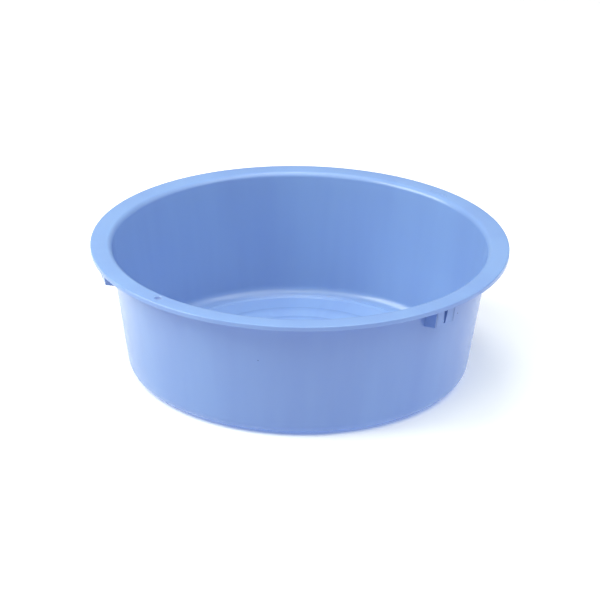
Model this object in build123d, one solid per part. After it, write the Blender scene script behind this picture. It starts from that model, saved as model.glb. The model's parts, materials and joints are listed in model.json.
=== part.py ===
from build123d import *
import math
import os

# Round ward wash basin, one injection moulding in polypropylene.
# Millimetres. Z is up, z = 0 is the underside of the foot, the axis of the bowl is Z.
# The moulding is divided into its functional regions, which meet face to face.
# The hanging hole is on -Y and the size pips are on +Y.

# Driving dimensions
rim_diameter = 360.0
rim_height = 115.0
wall_thickness = 1.5
base_line_radius = 146.4      # where the outside of the wall would meet the table
wall_draft = 8.5              # degrees from vertical
wall_foot_radius = 11.0       # inside corner between wall and foot
rim_root_radius = 5.0         # inside corner between wall and flange
rim_edge_radius = 1.2         # outside corner between flange and lip
lip_depth = 4.2

# Foot and floor, all measured on the upper surface
foot_riser_radius = 125.5     # inner edge of the foot channel
foot_riser_fillet = 3.0
border_crest_radius = 119.5
border_crest_height = 12.4
border_crest_fillet = 1.6
border_root_radius = 116.6
border_root_fillet = 1.5
panel_height = 10.4
rib_radii = [86.6, 67.1, 47.6]
rib_width = 19.5
rib_peak = 2.4                # height of the rib's outline before its crest is rounded
rib_crest_fillet = 30.0
rib_root_fillet = 2.0

# Where the regions are divided
foot_split_radius = 128.0
border_split_radius = 105.0
rib_split_radius = 78.8
foot_split_height = wall_thickness + wall_foot_radius
flange_split_height = 108.0
lip_split_radius = 175.8

# Hanging hole
hole_radius = 3.0
hole_place_radius = 170.8
hole_azimuth = 270.0
eye_inner_radius = 165.2
eye_half_angle = 3.5

# Stacking lugs under the flange
lug_azimuths = {"stacking_lug_1": 356.9, "stacking_lug_2": 116.9, "stacking_lug_3": 236.9}
lug_width = 22.0
lug_top_radius = 174.8
lug_foot_radius = 171.8
lug_foot_drop = 21.0
lug_root_drop = 23.7
lug_face_thickness = 1.5
lug_gusset_thickness = 1.5
lug_slit_top_width = 5.6
lug_slit_foot_width = 2.2
lug_slit_drop = 19.6

# Raised size pips on the flange
pip_count = 5
pip_pitch = 5.0
pip_place_radius = 170.6
pip_radius = 1.3
pip_height = 0.3
pip_azimuth = 86.0

# Derived sizes
rim_radius = rim_diameter / 2
draft_slope = math.tan(math.radians(wall_draft))
inner_base_line_radius = base_line_radius - wall_thickness / math.cos(math.radians(wall_draft))
lip_foot_height = rim_height - lip_depth
flange_underside = rim_height - wall_thickness
reach = rim_diameter           # larger than anything in the part
below = -wall_thickness        # a height safely under the foot
from_below = (Align.CENTER, Align.CENTER, Align.MIN)


def inner_wall_radius(height):
    return inner_base_line_radius + height * draft_slope


def upper_outline():
    """Corners of the upper surface as (radius, height, fillet), from the axis to the lip."""
    corners = [(0.0, panel_height, 0.0)]
    for radius in sorted(rib_radii):
        corners.append((radius - rib_width / 2, panel_height, rib_root_fillet))
        corners.append((radius, panel_height + rib_peak, rib_crest_fillet))
    corners.append((max(rib_radii) + rib_width / 2, panel_height, rib_root_fillet))
    corners += [
        (border_root_radius, panel_height, border_root_fillet),
        (border_crest_radius, border_crest_height, border_crest_fillet),
        (foot_riser_radius, wall_thickness, foot_riser_fillet),
        (inner_wall_radius(wall_thickness), wall_thickness, wall_foot_radius),
        (inner_wall_radius(rim_height), rim_height, rim_root_radius),
        (rim_radius, rim_height, rim_edge_radius),
        (rim_radius, lip_foot_height, 0.0),
    ]
    return corners


def unit(start, end):
    length = math.hypot(end[0] - start[0], end[1] - start[1])
    return (end[0] - start[0]) / length, (end[1] - start[1]) / length


def lower_outline(upper):
    """The same corners moved one wall thickness to the underside."""
    lower = []
    last = len(upper) - 1
    for index, corner in enumerate(upper):
        before = unit(upper[max(index - 1, 0)], upper[max(index, 1)])
        after = unit(upper[min(index, last - 1)], upper[min(index + 1, last)])
        turn = before[0] * after[1] - before[1] * after[0]
        share = wall_thickness / (1 + before[0] * after[0] + before[1] * after[1])
        radius = corner[0] + share * (before[1] + after[1])
        height = corner[1] - share * (before[0] + after[0])
        fillet_change = math.copysign(wall_thickness, turn)
        fillet_radius = max(corner[2] + fillet_change, 0.0) if 0 < index < last else 0.0
        lower.append((radius, height, fillet_radius))
    return lower


def revolved(outline):
    """Solid of revolution from corners given as (radius, height, fillet)."""
    points = [(radius, 0, height) for radius, height, _ in outline]
    fillets = [fillet_radius for _, _, fillet_radius in outline]
    edge = FilletPolyline(*points, radius=fillets, close=True)
    return revolve(make_face(edge), Axis.Z, 360)


def moulded_shell():
    upper = upper_outline()
    return revolved(upper + lower_outline(upper)[::-1])


def upright_tube(inner_radius, outer_radius, low, high):
    """Ring between two radii and two heights, used to divide the shell."""
    tube = Pos(0, 0, low) * Cylinder(outer_radius, high - low, align=from_below)
    if inner_radius > 0:
        tube -= Pos(0, 0, low) * Cylinder(inner_radius, high - low, align=from_below)
    return tube


def eye_sector():
    """Wedge of the flange that holds the hanging hole."""
    spread = math.tan(math.radians(eye_half_angle)) * reach
    triangle = Polyline((0, 0), (reach, -spread), (reach, spread), close=True)
    wedge = extrude(make_face(triangle), reach)
    band = upright_tube(eye_inner_radius, lip_split_radius, flange_split_height, rim_height)
    return (Rot(0, 0, hole_azimuth) * wedge) & band


def radial_prism(points, width):
    """Solid with the given (radius, height) outline in the XZ plane, centred across Y."""
    outline = Polyline(*[(radius, 0, height) for radius, height in points], close=True)
    return extrude(make_face(outline), width / 2, dir=(0, 1, 0), both=True)


def stacking_lug(azimuth, inside_of_basin):
    """Open box under the flange: a split outer face and two gussets back to the wall."""
    root_radius = rim_radius / 2
    foot_height = rim_height - lug_foot_drop
    root_height = rim_height - lug_root_drop
    slope = (lug_root_drop - lug_foot_drop) / (lug_foot_radius - inner_wall_radius(root_height))
    outline_foot = foot_height - slope * (lug_foot_radius - root_radius)
    outer = radial_prism(
        [
            (root_radius, flange_underside),
            (lug_top_radius, flange_underside),
            (lug_foot_radius, foot_height),
            (root_radius, outline_foot),
        ],
        lug_width,
    )
    hollow = radial_prism(
        [
            (root_radius, flange_underside),
            (lug_top_radius - lug_face_thickness, flange_underside),
            (lug_foot_radius - lug_face_thickness, foot_height),
            (lug_foot_radius - lug_face_thickness, 0),
            (root_radius, 0),
        ],
        lug_width - 2 * lug_gusset_thickness,
    )
    slit_outline = Polyline(
        (root_radius, -lug_slit_top_width / 2, flange_underside),
        (root_radius, lug_slit_top_width / 2, flange_underside),
        (root_radius, lug_slit_foot_width / 2, rim_height - lug_slit_drop),
        (root_radius, -lug_slit_foot_width / 2, rim_height - lug_slit_drop),
        close=True,
    )
    slit = extrude(make_face(slit_outline), reach, dir=(1, 0, 0))
    lug = Rot(0, 0, azimuth) * (outer - hollow - slit)
    return lug - inside_of_basin


def basin_inside():
    """Everything within the outer surface of the wall and flange, to trim the lugs against it."""
    wall_and_flange = lower_outline(upper_outline())[-4:-1]
    axis_foot = (0.0, 0.0, 0.0)
    axis_top = (0.0, rim_height, 0.0)
    return revolved([axis_foot] + wall_and_flange + [(rim_radius, rim_height, 0.0), axis_top])


def size_pips():
    pips = []
    pitch_angle = math.degrees(pip_pitch / pip_place_radius)
    for index in range(pip_count):
        azimuth = pip_azimuth + (index - (pip_count - 1) / 2) * pitch_angle
        pip = Cone(pip_radius, pip_radius - pip_height, pip_height, align=from_below)
        pips.append(Rot(0, 0, azimuth) * Pos(pip_place_radius, 0, rim_height) * pip)
    return Compound(children=pips)


def write_part(shape, name):
    shape.label = name
    export_step(shape, f"parts/{name}.step")


shell = moulded_shell()
eye_plate = eye_sector()
hole = Rot(0, 0, hole_azimuth) * Pos(hole_place_radius, 0, rim_height) * Cylinder(hole_radius, reach)
inside_of_basin = basin_inside()

regions = {
    "floor_centre": upright_tube(0, rib_split_radius, below, foot_split_height),
    "floor_ribbed_ring": upright_tube(rib_split_radius, border_split_radius, below, foot_split_height),
    "floor_border_ridge": upright_tube(border_split_radius, foot_split_radius, below, foot_split_height),
    "foot_ring": upright_tube(foot_split_radius, reach, below, foot_split_height),
    "side_wall": upright_tube(foot_split_radius, reach, foot_split_height, flange_split_height),
    "rim_flange": upright_tube(foot_split_radius, lip_split_radius, flange_split_height, reach) - eye_plate,
    "rim_lip": upright_tube(lip_split_radius, reach, flange_split_height, reach),
    "hanging_hole_eye": eye_plate - hole,
}

os.makedirs("parts", exist_ok=True)
for region_name, region in regions.items():
    write_part(shell & region, region_name)
for lug_name, lug_azimuth in lug_azimuths.items():
    write_part(stacking_lug(lug_azimuth, inside_of_basin), lug_name)
write_part(size_pips(), "rim_size_pips")
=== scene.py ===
import json
import math

import bmesh
import bpy
from mathutils import Matrix, Vector


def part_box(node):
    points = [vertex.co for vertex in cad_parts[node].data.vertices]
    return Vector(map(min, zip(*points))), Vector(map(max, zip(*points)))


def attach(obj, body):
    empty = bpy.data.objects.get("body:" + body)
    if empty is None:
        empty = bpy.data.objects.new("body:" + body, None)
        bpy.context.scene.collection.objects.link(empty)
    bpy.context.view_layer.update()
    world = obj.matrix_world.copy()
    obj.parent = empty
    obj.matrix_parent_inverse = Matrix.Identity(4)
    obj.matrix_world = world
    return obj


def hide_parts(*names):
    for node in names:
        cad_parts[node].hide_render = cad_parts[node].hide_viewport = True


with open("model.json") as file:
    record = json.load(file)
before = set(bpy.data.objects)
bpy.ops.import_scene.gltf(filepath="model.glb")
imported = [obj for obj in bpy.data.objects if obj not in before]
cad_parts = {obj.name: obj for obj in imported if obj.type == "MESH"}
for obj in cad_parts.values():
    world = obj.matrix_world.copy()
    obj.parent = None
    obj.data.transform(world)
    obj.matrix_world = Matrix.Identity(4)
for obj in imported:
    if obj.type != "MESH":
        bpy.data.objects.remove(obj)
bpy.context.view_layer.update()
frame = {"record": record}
print("frame loaded")

mm = 0.001
body = "root"

# Sizes read from the frame, in metres
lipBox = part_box("rim_lip")
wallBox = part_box("side_wall")
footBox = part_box("foot_ring")
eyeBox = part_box("hanging_hole_eye")
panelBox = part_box("floor_ribbed_ring")
holeMount = next(mount for mount in frame["record"]["mounts"] if mount["name"] == "hanging_hole")
rimRadius = lipBox[1][0]
rimHeight = lipBox[1][2]
lipFoot = lipBox[0][2]
wallThickness = eyeBox[1][2] - eyeBox[0][2]
wallSlope = (wallBox[1][0] - footBox[1][0]) / (wallBox[1][2] - footBox[1][2])
floorUnderside = panelBox[0][2]
holeCentre = Vector(holeMount["pos_m"])
holeRadius = holeMount["dims"]["r_mm"] * mm


def linearColour(hexColour, alpha=1.0):
    # sRGB hex to the linear values that a shader works in
    def toLinear(value):
        return value / 12.92 if value <= 0.04045 else ((value + 0.055) / 1.055) ** 2.4

    channels = [int(hexColour[i : i + 2], 16) / 255 for i in (1, 3, 5)]
    return (*[toLinear(channel) for channel in channels], alpha)


def addNode(tree, kind, links=None, **settings):
    # one node: settings are its own properties, links are its input values or the sockets that feed them
    node = tree.nodes.new(kind)
    for name, value in settings.items():
        setattr(node, name, value)
    for socket, value in (links or {}).items():
        target = node.inputs[socket]
        if isinstance(value, bpy.types.NodeSocket):
            tree.links.new(value, target)
        else:
            target.default_value = value
    return node


def newObject(name, mesh):
    piece = bpy.data.objects.new(name, mesh)
    bpy.context.scene.collection.objects.link(piece)
    return piece


def unitStep(start, end):
    length = math.hypot(end[0] - start[0], end[1] - start[1])
    return (end[0] - start[0]) / length, (end[1] - start[1]) / length


def roundedOutline(corners, arcStep):
    # corners are (radius, height, fillet); returns points with every fillet drawn as an arc
    points = [corners[0][:2]]
    for before, corner, after in zip(corners, corners[1:], corners[2:]):
        incoming = unitStep(before, corner)
        outgoing = unitStep(corner, after)
        turn = math.atan2(
            incoming[0] * outgoing[1] - incoming[1] * outgoing[0],
            incoming[0] * outgoing[0] + incoming[1] * outgoing[1],
        )
        if corner[2] == 0 or abs(turn) < 1e-6:
            points.append(corner[:2])
            continue
        reach = corner[2] * math.tan(abs(turn) / 2)
        start = (corner[0] - incoming[0] * reach, corner[1] - incoming[1] * reach)
        side = math.copysign(1, turn)
        centre = (start[0] - incoming[1] * corner[2] * side, start[1] + incoming[0] * corner[2] * side)
        steps = max(2, math.ceil(abs(turn) / arcStep))
        for index in range(steps + 1):
            angle = turn * index / steps
            dx = start[0] - centre[0]
            dz = start[1] - centre[1]
            points.append(
                (
                    centre[0] + dx * math.cos(angle) - dz * math.sin(angle),
                    centre[1] + dx * math.sin(angle) + dz * math.cos(angle),
                )
            )
    points.append(corners[-1][:2])
    return points


def oppositeFace(corners, thickness, smallestFillet):
    # the same corners one wall thickness away, on the underside
    moved = []
    last = len(corners) - 1
    for index, corner in enumerate(corners):
        before = unitStep(corners[max(index - 1, 0)], corners[max(index, 1)])
        after = unitStep(corners[min(index, last - 1)], corners[min(index + 1, last)])
        turn = before[0] * after[1] - before[1] * after[0]
        share = thickness / (1 + before[0] * after[0] + before[1] * after[1])
        fillet = max(corner[2] + math.copysign(thickness, turn), smallestFillet) if 0 < index < last else 0
        radius = corner[0] + share * (before[1] + after[1])
        height = corner[1] - share * (before[0] + after[0])
        moved.append((radius, height, fillet))
    return moved


def spacedPoints(points, longest):
    # extra points on long straight stretches, so that the mesh has even faces
    spaced = [points[0]]
    for start, end in zip(points, points[1:]):
        pieces = max(1, math.ceil(math.dist(start, end) / longest))
        for index in range(1, pieces + 1):
            share = index / pieces
            spaced.append((start[0] + (end[0] - start[0]) * share, start[1] + (end[1] - start[1]) * share))
    return spaced


def newTree(name, inputs):
    tree = bpy.data.node_groups.new(name, "GeometryNodeTree")
    tree.interface.new_socket("Geometry", in_out="INPUT", socket_type="NodeSocketGeometry")
    for label, kind, value in inputs:
        socket = tree.interface.new_socket(label, in_out="INPUT", socket_type=kind)
        if value is not None:
            socket.default_value = value
    tree.interface.new_socket("Geometry", in_out="OUTPUT", socket_type="NodeSocketGeometry")
    return tree, tree.nodes.new("NodeGroupInput"), tree.nodes.new("NodeGroupOutput")


def turningTree():
    # turns an outline in the XZ plane once round Z
    tree, groupIn, groupOut = newTree(
        "turnedMoulding",
        [
            ("Segments", "NodeSocketInt", 64),
            ("Guide Radius", "NodeSocketFloat", 0.1),
            ("Weld Distance", "NodeSocketFloat", 1e-5),
            ("Material", "NodeSocketMaterial", None),
        ],
    )
    outline = addNode(tree, "GeometryNodeMeshToCurve", {"Mesh": groupIn.outputs["Geometry"]})
    circle = addNode(
        tree,
        "GeometryNodeCurvePrimitiveCircle",
        {"Resolution": groupIn.outputs["Segments"], "Radius": groupIn.outputs["Guide Radius"]},
    )
    upright = addNode(tree, "GeometryNodeSetCurveNormal", {"Curve": circle.outputs["Curve"]}, mode="Z_UP")
    turned = addNode(
        tree,
        "GeometryNodeCurveToMesh",
        {"Curve": upright.outputs["Curve"], "Profile Curve": outline.outputs["Curve"]},
    )
    welded = addNode(
        tree,
        "GeometryNodeMergeByDistance",
        {"Geometry": turned.outputs["Mesh"], "Distance": groupIn.outputs["Weld Distance"]},
    )
    real = addNode(tree, "GeometryNodeRealizeInstances", {"Geometry": welded.outputs["Geometry"]})
    finished = addNode(
        tree,
        "GeometryNodeSetMaterial",
        {"Geometry": real.outputs["Geometry"], "Material": groupIn.outputs["Material"]},
    )
    tree.links.new(finished.outputs["Geometry"], groupOut.inputs["Geometry"])
    return tree


def ringTree():
    # repeats the given mesh round Z, a number of times at a fixed angle
    tree, groupIn, groupOut = newTree(
        "repeatedRoundTheBowl",
        [
            ("Count", "NodeSocketInt", 3),
            ("First Angle", "NodeSocketFloat", 0.0),
            ("Angle Step", "NodeSocketFloat", 2.0944),
            ("Material", "NodeSocketMaterial", None),
        ],
    )
    places = addNode(tree, "GeometryNodeMeshLine", {"Count": groupIn.outputs["Count"], "Offset": (0, 0, 0)})
    index = addNode(tree, "GeometryNodeInputIndex")
    turned = addNode(
        tree,
        "ShaderNodeMath",
        {0: index.outputs["Index"], 1: groupIn.outputs["Angle Step"], 2: groupIn.outputs["First Angle"]},
        operation="MULTIPLY_ADD",
    )
    rotation = addNode(tree, "ShaderNodeCombineXYZ", {"Z": turned.outputs[0]})
    copies = addNode(
        tree,
        "GeometryNodeInstanceOnPoints",
        {
            "Points": places.outputs["Mesh"],
            "Instance": groupIn.outputs["Geometry"],
            "Rotation": rotation.outputs["Vector"],
        },
    )
    real = addNode(tree, "GeometryNodeRealizeInstances", {"Geometry": copies.outputs["Instances"]})
    finished = addNode(
        tree,
        "GeometryNodeSetMaterial",
        {"Geometry": real.outputs["Geometry"], "Material": groupIn.outputs["Material"]},
    )
    tree.links.new(finished.outputs["Geometry"], groupOut.inputs["Geometry"])
    return tree


def grownMesh(name, source, tree, values):
    # runs a node tree on the source mesh and keeps the result as a plain mesh
    seed = newObject(name + "Seed", source)
    modifier = seed.modifiers.new("grow", "NODES")
    modifier.node_group = tree
    identifiers = {item.name: item.identifier for item in tree.interface.items_tree if item.in_out == "INPUT"}
    for label, value in values.items():
        modifier[identifiers[label]] = value
    evaluated = seed.evaluated_get(bpy.context.evaluated_depsgraph_get())
    mesh = bpy.data.meshes.new_from_object(evaluated)
    mesh.name = name
    seed.modifiers.clear()
    bpy.data.objects.remove(seed, do_unlink=True)
    bpy.data.meshes.remove(source)
    return mesh


def facingOut(mesh):
    # a closed mesh whose volume comes out negative is inside out
    work = bmesh.new()
    work.from_mesh(mesh)
    bmesh.ops.remove_doubles(work, verts=work.verts, dist=1e-6)
    bmesh.ops.recalc_face_normals(work, faces=work.faces)
    if work.calc_volume(signed=True) < 0:
        bmesh.ops.reverse_faces(work, faces=work.faces)
    work.to_mesh(mesh)
    work.free()


def turnedMesh(name, points, tree, segments, material):
    guideRadius = 0.1
    outline = bpy.data.meshes.new(name + "Outline")
    closed = points[0] != points[-1] and min(points[0][0], points[-1][0]) > 0
    edges = [(index, index + 1) for index in range(len(points) - 1)]
    if closed:
        edges.append((len(points) - 1, 0))
    # the guide circle carries the outline's Y axis downwards
    outline.from_pydata([(radius - guideRadius, -height, 0) for radius, height in points], edges, [])
    mesh = grownMesh(
        name, outline, tree, {"Segments": segments, "Guide Radius": guideRadius, "Material": material}
    )
    facingOut(mesh)
    return mesh


plasticLook = {
    "colour": "#7C9ACE",          # light blue masterbatch
    "flowColour": "#7895CB",      # a touch deeper where the melt ran
    "speckColour": "#24365F",     # charred pellet dust
    "roughness": 0.2,
    "ior": 1.49,                  # polypropylene
    "scatter": 0.12,              # the wall lets a little light through
    "scatterDepth": 3 * mm,
    "scatterByColour": (0.35, 0.6, 1.0),
    "flowScale": 3.2,             # marks for each radian round the bowl
    "flowDetail": 3.0,
    "flowRoughness": 0.55,
    "flowLow": 0.42,              # noise below this has no mark
    "flowHigh": 0.66,             # noise above this has the full mark
    "peelSize": 1.6 * mm,         # mould texture, drawn coarse enough to show
    "peelHeight": 0.012 * mm,
    "waveSize": 38 * mm,          # slow unevenness of a cooled wall
    "waveHeight": 0.10 * mm,
    "speckSpacing": 26 * mm,
    "speckRadius": 0.45 * mm,
    "speckShare": 0.10,           # part of the cells that hold a speck
    "speckFade": 1.6,             # where a speck has faded out, in speck radii
    "scuffSize": 9 * mm,
    "scuffDetail": 5.0,
    "scuffRoughness": 0.65,
    "scuffLow": 0.3,
    "scuffHigh": 0.75,
    "polish": 0.03,               # roughness lost where it is least scuffed
    "scuff": 0.07,                # roughness gained where it is most scuffed
}


def mouldedPolypropylene(look):
    # satin injection-moulded polypropylene: soft broad gloss, faint flow marks, a few dark specks
    material = bpy.data.materials.new("satinMouldedPolypropylene")
    material.use_nodes = True
    tree = material.node_tree
    tree.nodes.clear()
    place = addNode(tree, "ShaderNodeTexCoord").outputs["Object"]
    split = addNode(tree, "ShaderNodeSeparateXYZ", {0: place})
    angle = addNode(
        tree, "ShaderNodeMath", {0: split.outputs["Y"], 1: split.outputs["X"]}, operation="ARCTAN2"
    )
    # flow marks run from the gate at the centre, outwards and up the wall, and join up all the way round
    across = addNode(tree, "ShaderNodeMath", {0: angle.outputs[0]}, operation="COSINE")
    along = addNode(tree, "ShaderNodeMath", {0: angle.outputs[0]}, operation="SINE")
    spokes = addNode(
        tree,
        "ShaderNodeCombineXYZ",
        {"X": across.outputs[0], "Y": along.outputs[0], "Z": split.outputs["Z"]},
    )
    flow = addNode(
        tree,
        "ShaderNodeTexNoise",
        {
            "Vector": spokes.outputs[0],
            "Scale": look["flowScale"],
            "Detail": look["flowDetail"],
            "Roughness": look["flowRoughness"],
        },
    )
    flowMask = addNode(
        tree,
        "ShaderNodeMapRange",
        {"Value": flow.outputs["Fac"], "From Min": look["flowLow"], "From Max": look["flowHigh"]},
    )
    tinted = addNode(
        tree,
        "ShaderNodeMix",
        {
            "Factor": flowMask.outputs["Result"],
            "A": linearColour(look["colour"]),
            "B": linearColour(look["flowColour"]),
        },
        data_type="RGBA",
    )
    specks = addNode(
        tree, "ShaderNodeTexVoronoi", {"Vector": place, "Scale": 1 / look["speckSpacing"], "Randomness": 1.0}
    )
    speckRadius = look["speckRadius"] / look["speckSpacing"]
    inSpeck = addNode(
        tree,
        "ShaderNodeMapRange",
        {
            "Value": specks.outputs["Distance"],
            "From Min": speckRadius,
            "From Max": speckRadius * look["speckFade"],
            "To Min": 1.0,
            "To Max": 0.0,
        },
    )
    cellValue = addNode(tree, "ShaderNodeSeparateColor", {0: specks.outputs["Color"]})
    chosen = addNode(
        tree, "ShaderNodeMath", {0: cellValue.outputs["Red"], 1: look["speckShare"]}, operation="LESS_THAN"
    )
    speckMask = addNode(
        tree, "ShaderNodeMath", {0: inSpeck.outputs["Result"], 1: chosen.outputs[0]}, operation="MULTIPLY"
    )
    speckled = addNode(
        tree,
        "ShaderNodeMix",
        {
            "Factor": speckMask.outputs[0],
            "A": tinted.outputs["Result"],
            "B": linearColour(look["speckColour"]),
        },
        data_type="RGBA",
    )
    # handling leaves the satin slightly duller in patches
    scuffs = addNode(
        tree,
        "ShaderNodeTexNoise",
        {
            "Vector": place,
            "Scale": 1 / look["scuffSize"],
            "Detail": look["scuffDetail"],
            "Roughness": look["scuffRoughness"],
        },
    )
    roughness = addNode(
        tree,
        "ShaderNodeMapRange",
        {
            "Value": scuffs.outputs["Fac"],
            "From Min": look["scuffLow"],
            "From Max": look["scuffHigh"],
            "To Min": look["roughness"] - look["polish"],
            "To Max": look["roughness"] + look["scuff"],
        },
    )
    wave = addNode(
        tree, "ShaderNodeTexNoise", {"Vector": place, "Scale": 1 / look["waveSize"], "Detail": 1.0}
    )
    waveBump = addNode(
        tree,
        "ShaderNodeBump",
        {"Height": wave.outputs["Fac"], "Distance": look["waveHeight"], "Strength": 1.0},
    )
    peel = addNode(
        tree, "ShaderNodeTexNoise", {"Vector": place, "Scale": 1 / look["peelSize"], "Detail": 2.0}
    )
    peelBump = addNode(
        tree,
        "ShaderNodeBump",
        {
            "Height": peel.outputs["Fac"],
            "Distance": look["peelHeight"],
            "Strength": 1.0,
            "Normal": waveBump.outputs["Normal"],
        },
    )
    shader = addNode(
        tree,
        "ShaderNodeBsdfPrincipled",
        {
            "Base Color": speckled.outputs["Result"],
            "Roughness": roughness.outputs["Result"],
            "IOR": look["ior"],
            "Subsurface Weight": look["scatter"],
            "Subsurface Radius": look["scatterByColour"],
            "Subsurface Scale": look["scatterDepth"],
            "Normal": peelBump.outputs["Normal"],
        },
    )
    addNode(tree, "ShaderNodeOutputMaterial", {"Surface": shader.outputs["BSDF"]})
    return material


plastic = mouldedPolypropylene(plasticLook)
turning = turningTree()
ringing = ringTree()
print("material and node trees ready")

basin = {
    "segments": 288,
    "footFillet": 11 * mm,          # inside corner between wall and foot
    "rimRootFillet": 5 * mm,
    "rimEdgeFillet": 1.0 * mm,
    "lipFootFillet": 0.5 * mm,
    "riserRadius": 125.5 * mm,      # foot channel, inner side
    "riserFillet": 3 * mm,
    "crestRadius": 119.5 * mm,      # ridge round the floor panel
    "crestRise": 2.0 * mm,
    "crestFillet": 1.6 * mm,
    "crestRootRadius": 116.6 * mm,
    "crestRootFillet": 1.5 * mm,
    "ribRadii": [86.6 * mm, 67.1 * mm, 47.6 * mm],
    "ribWidth": 19.5 * mm,
    "ribPeak": 2.4 * mm,
    "ribFillet": 30 * mm,
    "ribRootFillet": 2 * mm,
    "gateRecessRadius": 6 * mm,     # under the floor, where the melt came in
    "gateRecessDepth": 0.5 * mm,
    "gateNubRadius": 1.6 * mm,
    "gateNubHeight": 0.4 * mm,
    "gateRecessFlare": 1.4,         # how far the recess and the nub spread at their feet
    "gateNubFlare": 1.1,
    "smallestFillet": 0.2 * mm,
    "arcStep": math.radians(9),
    "longestFace": 12 * mm,
    "holeEdge": 0.35 * mm,          # softened edge of the hanging hole
    "holeSegments": 40,
    "cutterSpare": 2 * mm,          # how far the hole's cutter runs past the flange
}


def innerWallRadius(height):
    outer = footBox[1][0] + (height - footBox[1][2]) * wallSlope
    return outer - wallThickness * math.hypot(1, wallSlope)


def basinOutline(values):
    panel = floorUnderside + wallThickness
    corners = [(0, panel, 0)]
    for radius in sorted(values["ribRadii"]):
        corners.append((radius - values["ribWidth"] / 2, panel, values["ribRootFillet"]))
        corners.append((radius, panel + values["ribPeak"], values["ribFillet"]))
    corners.append((max(values["ribRadii"]) + values["ribWidth"] / 2, panel, values["ribRootFillet"]))
    corners += [
        (values["crestRootRadius"], panel, values["crestRootFillet"]),
        (values["crestRadius"], panel + values["crestRise"], values["crestFillet"]),
        (values["riserRadius"], wallThickness, values["riserFillet"]),
        (innerWallRadius(wallThickness), wallThickness, values["footFillet"]),
        (innerWallRadius(rimHeight), rimHeight, values["rimRootFillet"]),
        (rimRadius, rimHeight, values["rimEdgeFillet"]),
        (rimRadius, lipFoot, values["lipFootFillet"]),
    ]
    fillet = values["smallestFillet"]
    under = oppositeFace(corners[:-1] + [(rimRadius, lipFoot, 0)], wallThickness, fillet)
    under[-1] = (under[-1][0], lipFoot, values["lipFootFillet"])
    under[0] = (values["gateRecessRadius"] * values["gateRecessFlare"], under[0][1], 0)
    recess = under[0][1] + values["gateRecessDepth"]
    gate = [
        (values["gateRecessRadius"], recess, fillet),
        (values["gateNubRadius"] * values["gateNubFlare"], recess, fillet),
        (values["gateNubRadius"], recess - values["gateNubHeight"], fillet),
        (0, recess - values["gateNubHeight"], 0),
    ]
    whole = roundedOutline(corners + under[::-1] + gate, values["arcStep"])
    return spacedPoints(whole, values["longestFace"])


def makeBasin(values):
    mesh = turnedMesh("basinShell", basinOutline(values), turning, values["segments"], plastic)
    shell = newObject("basinShell", mesh)
    edge = values["holeEdge"]
    top = rimHeight
    low = rimHeight - wallThickness
    spare = values["cutterSpare"]
    cutterPoints = [
        (0, low - spare),
        (holeRadius + edge + spare, low - spare),
        (holeRadius, low + edge),
        (holeRadius, top - edge),
        (holeRadius + edge + spare, top + spare),
        (0, top + spare),
    ]
    cutterMesh = turnedMesh("holeCutter", cutterPoints, turning, values["holeSegments"], plastic)
    cutter = newObject("holeCutter", cutterMesh)
    cutter.data.transform(Matrix.Translation((holeCentre.x, holeCentre.y, 0)))
    modifier = shell.modifiers.new("hole", "BOOLEAN")
    modifier.operation = "DIFFERENCE"
    modifier.object = cutter
    modifier.solver = "EXACT"
    cut = bpy.data.meshes.new_from_object(shell.evaluated_get(bpy.context.evaluated_depsgraph_get()))
    shell.modifiers.clear()
    shell.data = cut
    bpy.data.objects.remove(cutter, do_unlink=True)
    cut.name = "basinShell"
    return shell


basinShell = makeBasin(basin)
print("basin", len(basinShell.data.polygons), "faces")

lugs = {
    "count": 3,
    "firstAngle": math.radians(356.9),
    "width": 22 * mm,
    "topRadius": 174.8 * mm,
    "footRadius": 171.8 * mm,
    "footDrop": 21 * mm,
    "rootDrop": 23.7 * mm,
    "face": 1.5 * mm,
    "gusset": 1.5 * mm,
    "slitTop": 5.6 * mm,
    "slitFoot": 2.2 * mm,
    "slitDrop": 19.6 * mm,
    "bury": 0.6 * mm,               # how far the lug runs into the wall and flange it grows from
}


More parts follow.
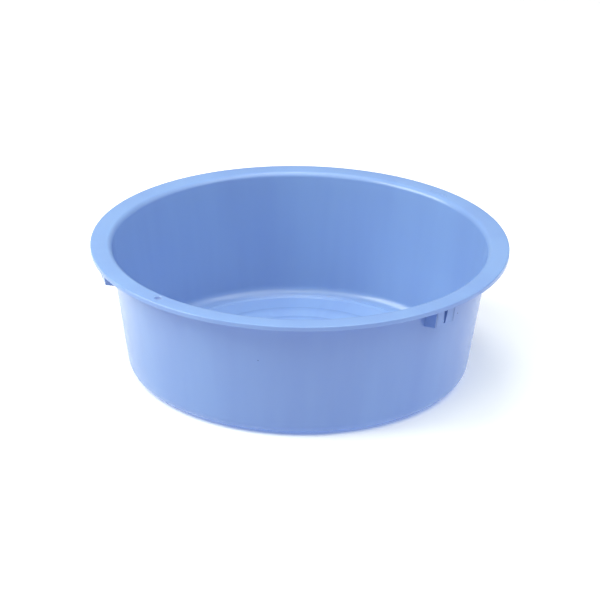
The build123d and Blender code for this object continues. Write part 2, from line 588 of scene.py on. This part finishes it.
def lugMesh(values):
    # each side has a gusset and half of the outer face, both closed slabs
    top = rimHeight - wallThickness + values["bury"]
    foot = rimHeight - values["footDrop"]
    root = rimHeight - values["rootDrop"]
    half = values["width"] / 2
    work = bmesh.new()

    def outerRadius(height):
        share = (height - foot) / (rimHeight - wallThickness - foot)
        return values["footRadius"] + share * (values["topRadius"] - values["footRadius"])

    def wallRadius(height, across):
        radius = innerWallRadius(height) + wallThickness - values["bury"]
        return math.sqrt(radius * radius - across * across)

    def slab(near, far):
        # near and far are matching loops of corners, joined into one closed solid
        lower = [work.verts.new(point) for point in near]
        upper = [work.verts.new(point) for point in far]
        count = len(near)
        work.faces.new(lower[::-1])
        work.faces.new(upper)
        for index in range(count):
            following = (index + 1) % count
            work.faces.new((lower[index], lower[following], upper[following], upper[index]))

    for side in (-1, 1):
        # gusset back to the wall
        outline = [(wallRadius, top), (outerRadius, top), (outerRadius, foot), (wallRadius, root)]
        loops = []
        for across in (half, half - values["gusset"]):
            loop = []
            for radiusAt, height in outline:
                radius = radiusAt(height, across) if radiusAt is wallRadius else radiusAt(height)
                loop.append((radius, side * across, height))
            loops.append(loop)
        slab(loops[0], loops[1])
        # half of the outer face, beside the slit
        slitFoot = rimHeight - values["slitDrop"]
        outline = [
            (half - values["gusset"] * 0.5, top),
            (values["slitTop"] / 2, top),
            (values["slitFoot"] / 2, slitFoot),
            (0, slitFoot),
            (0, foot),
            (half - values["gusset"] * 0.5, foot),
        ]
        loops = []
        for depth in (0, values["face"]):
            loop = [(outerRadius(height) - depth, side * across, height) for across, height in outline]
            loops.append(loop)
        slab(loops[0], loops[1])
    mesh = bpy.data.meshes.new("stackingLug")
    work.to_mesh(mesh)
    work.free()
    return mesh


def makeLugs(values):
    places = {
        "Count": values["count"],
        "First Angle": values["firstAngle"],
        "Angle Step": math.tau / values["count"],
        "Material": plastic,
    }
    mesh = grownMesh("stackingLugs", lugMesh(values), ringing, places)
    piece = newObject("stackingLugs", mesh)
    facingOut(mesh)
    return piece


stackingLugs = makeLugs(lugs)
print("stacking lugs", len(stackingLugs.data.polygons), "faces")

pips = {
    "count": 5,
    "pitch": 5 * mm,
    "placeRadius": 170.6 * mm,
    "angle": math.radians(86.0),
    "radius": 1.3 * mm,
    "height": 0.3 * mm,
    "bury": 0.1 * mm,
    "edgeFillet": 0.25 * mm,
    "arcStep": math.radians(15),
    "segments": 24,
}


def makePips(values):
    # each pip is a low turned dome
    step = values["pitch"] / values["placeRadius"]
    base = rimHeight - values["bury"]
    top = rimHeight + values["height"]
    corners = [
        (0, top, 0),
        (values["radius"], top, values["edgeFillet"]),
        (values["radius"], base, 0),
        (0, base, 0),
    ]
    outline = roundedOutline(corners, values["arcStep"])
    dome = turnedMesh("pip", outline, turning, values["segments"], plastic)
    dome.transform(Matrix.Translation((values["placeRadius"], 0, 0)))
    first = values["angle"] - step * (values["count"] - 1) / 2
    mesh = grownMesh(
        "sizePips",
        dome,
        ringing,
        {"Count": values["count"], "First Angle": first, "Angle Step": step, "Material": plastic},
    )
    piece = newObject("sizePips", mesh)
    facingOut(mesh)
    return piece


sizePips = makePips(pips)
print("size pips", len(sizePips.data.polygons), "faces")


def smoothShaded(piece, angle):
    for face in piece.data.polygons:
        face.use_smooth = True
    piece.data.set_sharp_from_angle(angle=math.radians(angle))


for piece, angle in ((basinShell, 40), (stackingLugs, 30), (sizePips, 50)):
    smoothShaded(piece, angle)
    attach(piece, body)

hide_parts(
    "floor_centre",
    "floor_ribbed_ring",
    "floor_border_ridge",
    "foot_ring",
    "side_wall",
    "rim_flange",
    "hanging_hole_eye",
    "rim_lip",
)
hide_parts("stacking_lug_1", "stacking_lug_2", "stacking_lug_3")
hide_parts("rim_size_pips")

studio = {
    "cameraAzimuth": math.radians(42.67),     # 0 looks along +Y
    "cameraElevation": math.radians(22.6),
    "cameraDistance": 2.5779,
    "cameraRoll": math.radians(0.897),
    "cameraTilt": 0.0196,                   # how far the axis is aimed below the rim's centre
    "lens": 180,
    "sensor": 36,
    "clipEnd": 50,
    "floorHalf": 6.0,
    "floorColour": "#FDFDFD",
    "floorRoughness": 0.9,
    "floorSpecular": 0.1,
    "skyColour": "#E4E9FF",                 # upper half of the world
    "skyStrength": 0.28,
    "bounceColour": "#E3E9FA",              # lower half of the world, in place of light off the floor
    "bounceStrength": 1.38,
    # azimuth and elevation in degrees, distance, width and height in metres, watts, colour
    "softboxes": {
        "leftSoftbox": (-85, 38, 1.8, 1.4, 1.1, 34, "#FDFFEC"),
        "overheadRightSoftbox": (48, 62, 1.8, 1.6, 1.4, 18.5, "#FDFFEC"),
        "overheadLeftSoftbox": (-42, 58, 1.8, 1.4, 1.2, 11, "#FDFFEC"),
        "topStrip": (180, 74, 1.7, 0.6, 0.3, 6, "#FFFFFA"),
        "rightFill": (92, 38, 1.8, 2.0, 1.4, 11, "#EDF2FA"),
    },
}


def aimCamera(values):
    azimuth = values["cameraAzimuth"]
    elevation = values["cameraElevation"]
    back = Vector(
        (
            math.sin(azimuth) * math.cos(elevation),
            -math.cos(azimuth) * math.cos(elevation),
            math.sin(elevation),
        )
    )
    right = Vector((math.cos(azimuth), math.sin(azimuth), 0))
    up = back.cross(right)
    roll = values["cameraRoll"]
    rolledRight = right * math.cos(roll) + up * math.sin(roll)
    rolledUp = up * math.cos(roll) - right * math.sin(roll)
    aimedBack = (back + rolledUp * values["cameraTilt"]).normalized()
    aimedUp = aimedBack.cross(rolledRight).normalized()
    place = Vector((0, 0, rimHeight)) + back * values["cameraDistance"]
    data = bpy.data.cameras.new("camera")
    data.lens = values["lens"]
    data.sensor_width = values["sensor"]
    data.clip_end = values["clipEnd"]
    camera = newObject("camera", data)
    turn = Matrix((aimedUp.cross(aimedBack), aimedUp, aimedBack)).transposed()
    camera.matrix_world = Matrix.Translation(place) @ turn.to_4x4()
    bpy.context.scene.camera = camera


def softbox(name, azimuth, elevation, distance, width, height, power, colour):
    # azimuth is counted from the camera's side, anticlockwise seen from above
    heading = studio["cameraAzimuth"] - math.pi / 2 + math.radians(azimuth)
    tilt = math.radians(elevation)
    offset = Vector((math.cos(heading) * math.cos(tilt), math.sin(heading) * math.cos(tilt), math.sin(tilt)))
    data = bpy.data.lights.new(name, "AREA")
    data.shape = "RECTANGLE"
    data.size = width
    data.size_y = height
    data.energy = power
    data.color = linearColour(colour)[:3]
    light = newObject(name, data)
    light.location = Vector((0, 0, rimHeight / 2)) + offset * distance
    light.rotation_euler = offset.to_track_quat("Z", "Y").to_euler()


def makeStudio(values):
    half = values["floorHalf"]
    corners = [(-half, -half, 0), (half, -half, 0), (half, half, 0), (-half, half, 0)]
    mesh = bpy.data.meshes.new("studioFloor")
    mesh.from_pydata(corners, [], [(0, 1, 2, 3)])
    floor = newObject("studioFloor", mesh)
    material = bpy.data.materials.new("paleFloor")
    material.use_nodes = True
    shader = material.node_tree.nodes["Principled BSDF"]
    shader.inputs["Base Color"].default_value = linearColour(values["floorColour"])
    shader.inputs["Roughness"].default_value = values["floorRoughness"]
    shader.inputs["Specular IOR Level"].default_value = values["floorSpecular"]
    mesh.materials.append(material)
    # light from under the basin comes from the tinted lower half of the world, not off the floor
    floor.visible_diffuse = False
    floor.visible_shadow = False
    world = bpy.data.worlds.new("studioAir")
    world.use_nodes = True
    tree = world.node_tree
    direction = addNode(tree, "ShaderNodeTexCoord").outputs["Generated"]
    height = addNode(tree, "ShaderNodeSeparateXYZ", {0: direction}).outputs["Z"]
    above = addNode(tree, "ShaderNodeMath", {0: height, 1: 0.0}, operation="GREATER_THAN")
    bounce = addNode(
        tree,
        "ShaderNodeBackground",
        {"Color": linearColour(values["bounceColour"]), "Strength": values["bounceStrength"]},
    )
    sky = tree.nodes["Background"]
    sky.inputs["Color"].default_value = linearColour(values["skyColour"])
    sky.inputs["Strength"].default_value = values["skyStrength"]
    mixed = addNode(
        tree, "ShaderNodeMixShader", {0: above.outputs[0], 1: bounce.outputs[0], 2: sky.outputs[0]}
    )
    tree.links.new(mixed.outputs[0], tree.nodes["World Output"].inputs["Surface"])
    bpy.context.scene.world = world
    bpy.context.scene.view_settings.view_transform = "Standard"
    for name, box in values["softboxes"].items():
        softbox(name, *box)


aimCamera(studio)
makeStudio(studio)
print("studio ready")
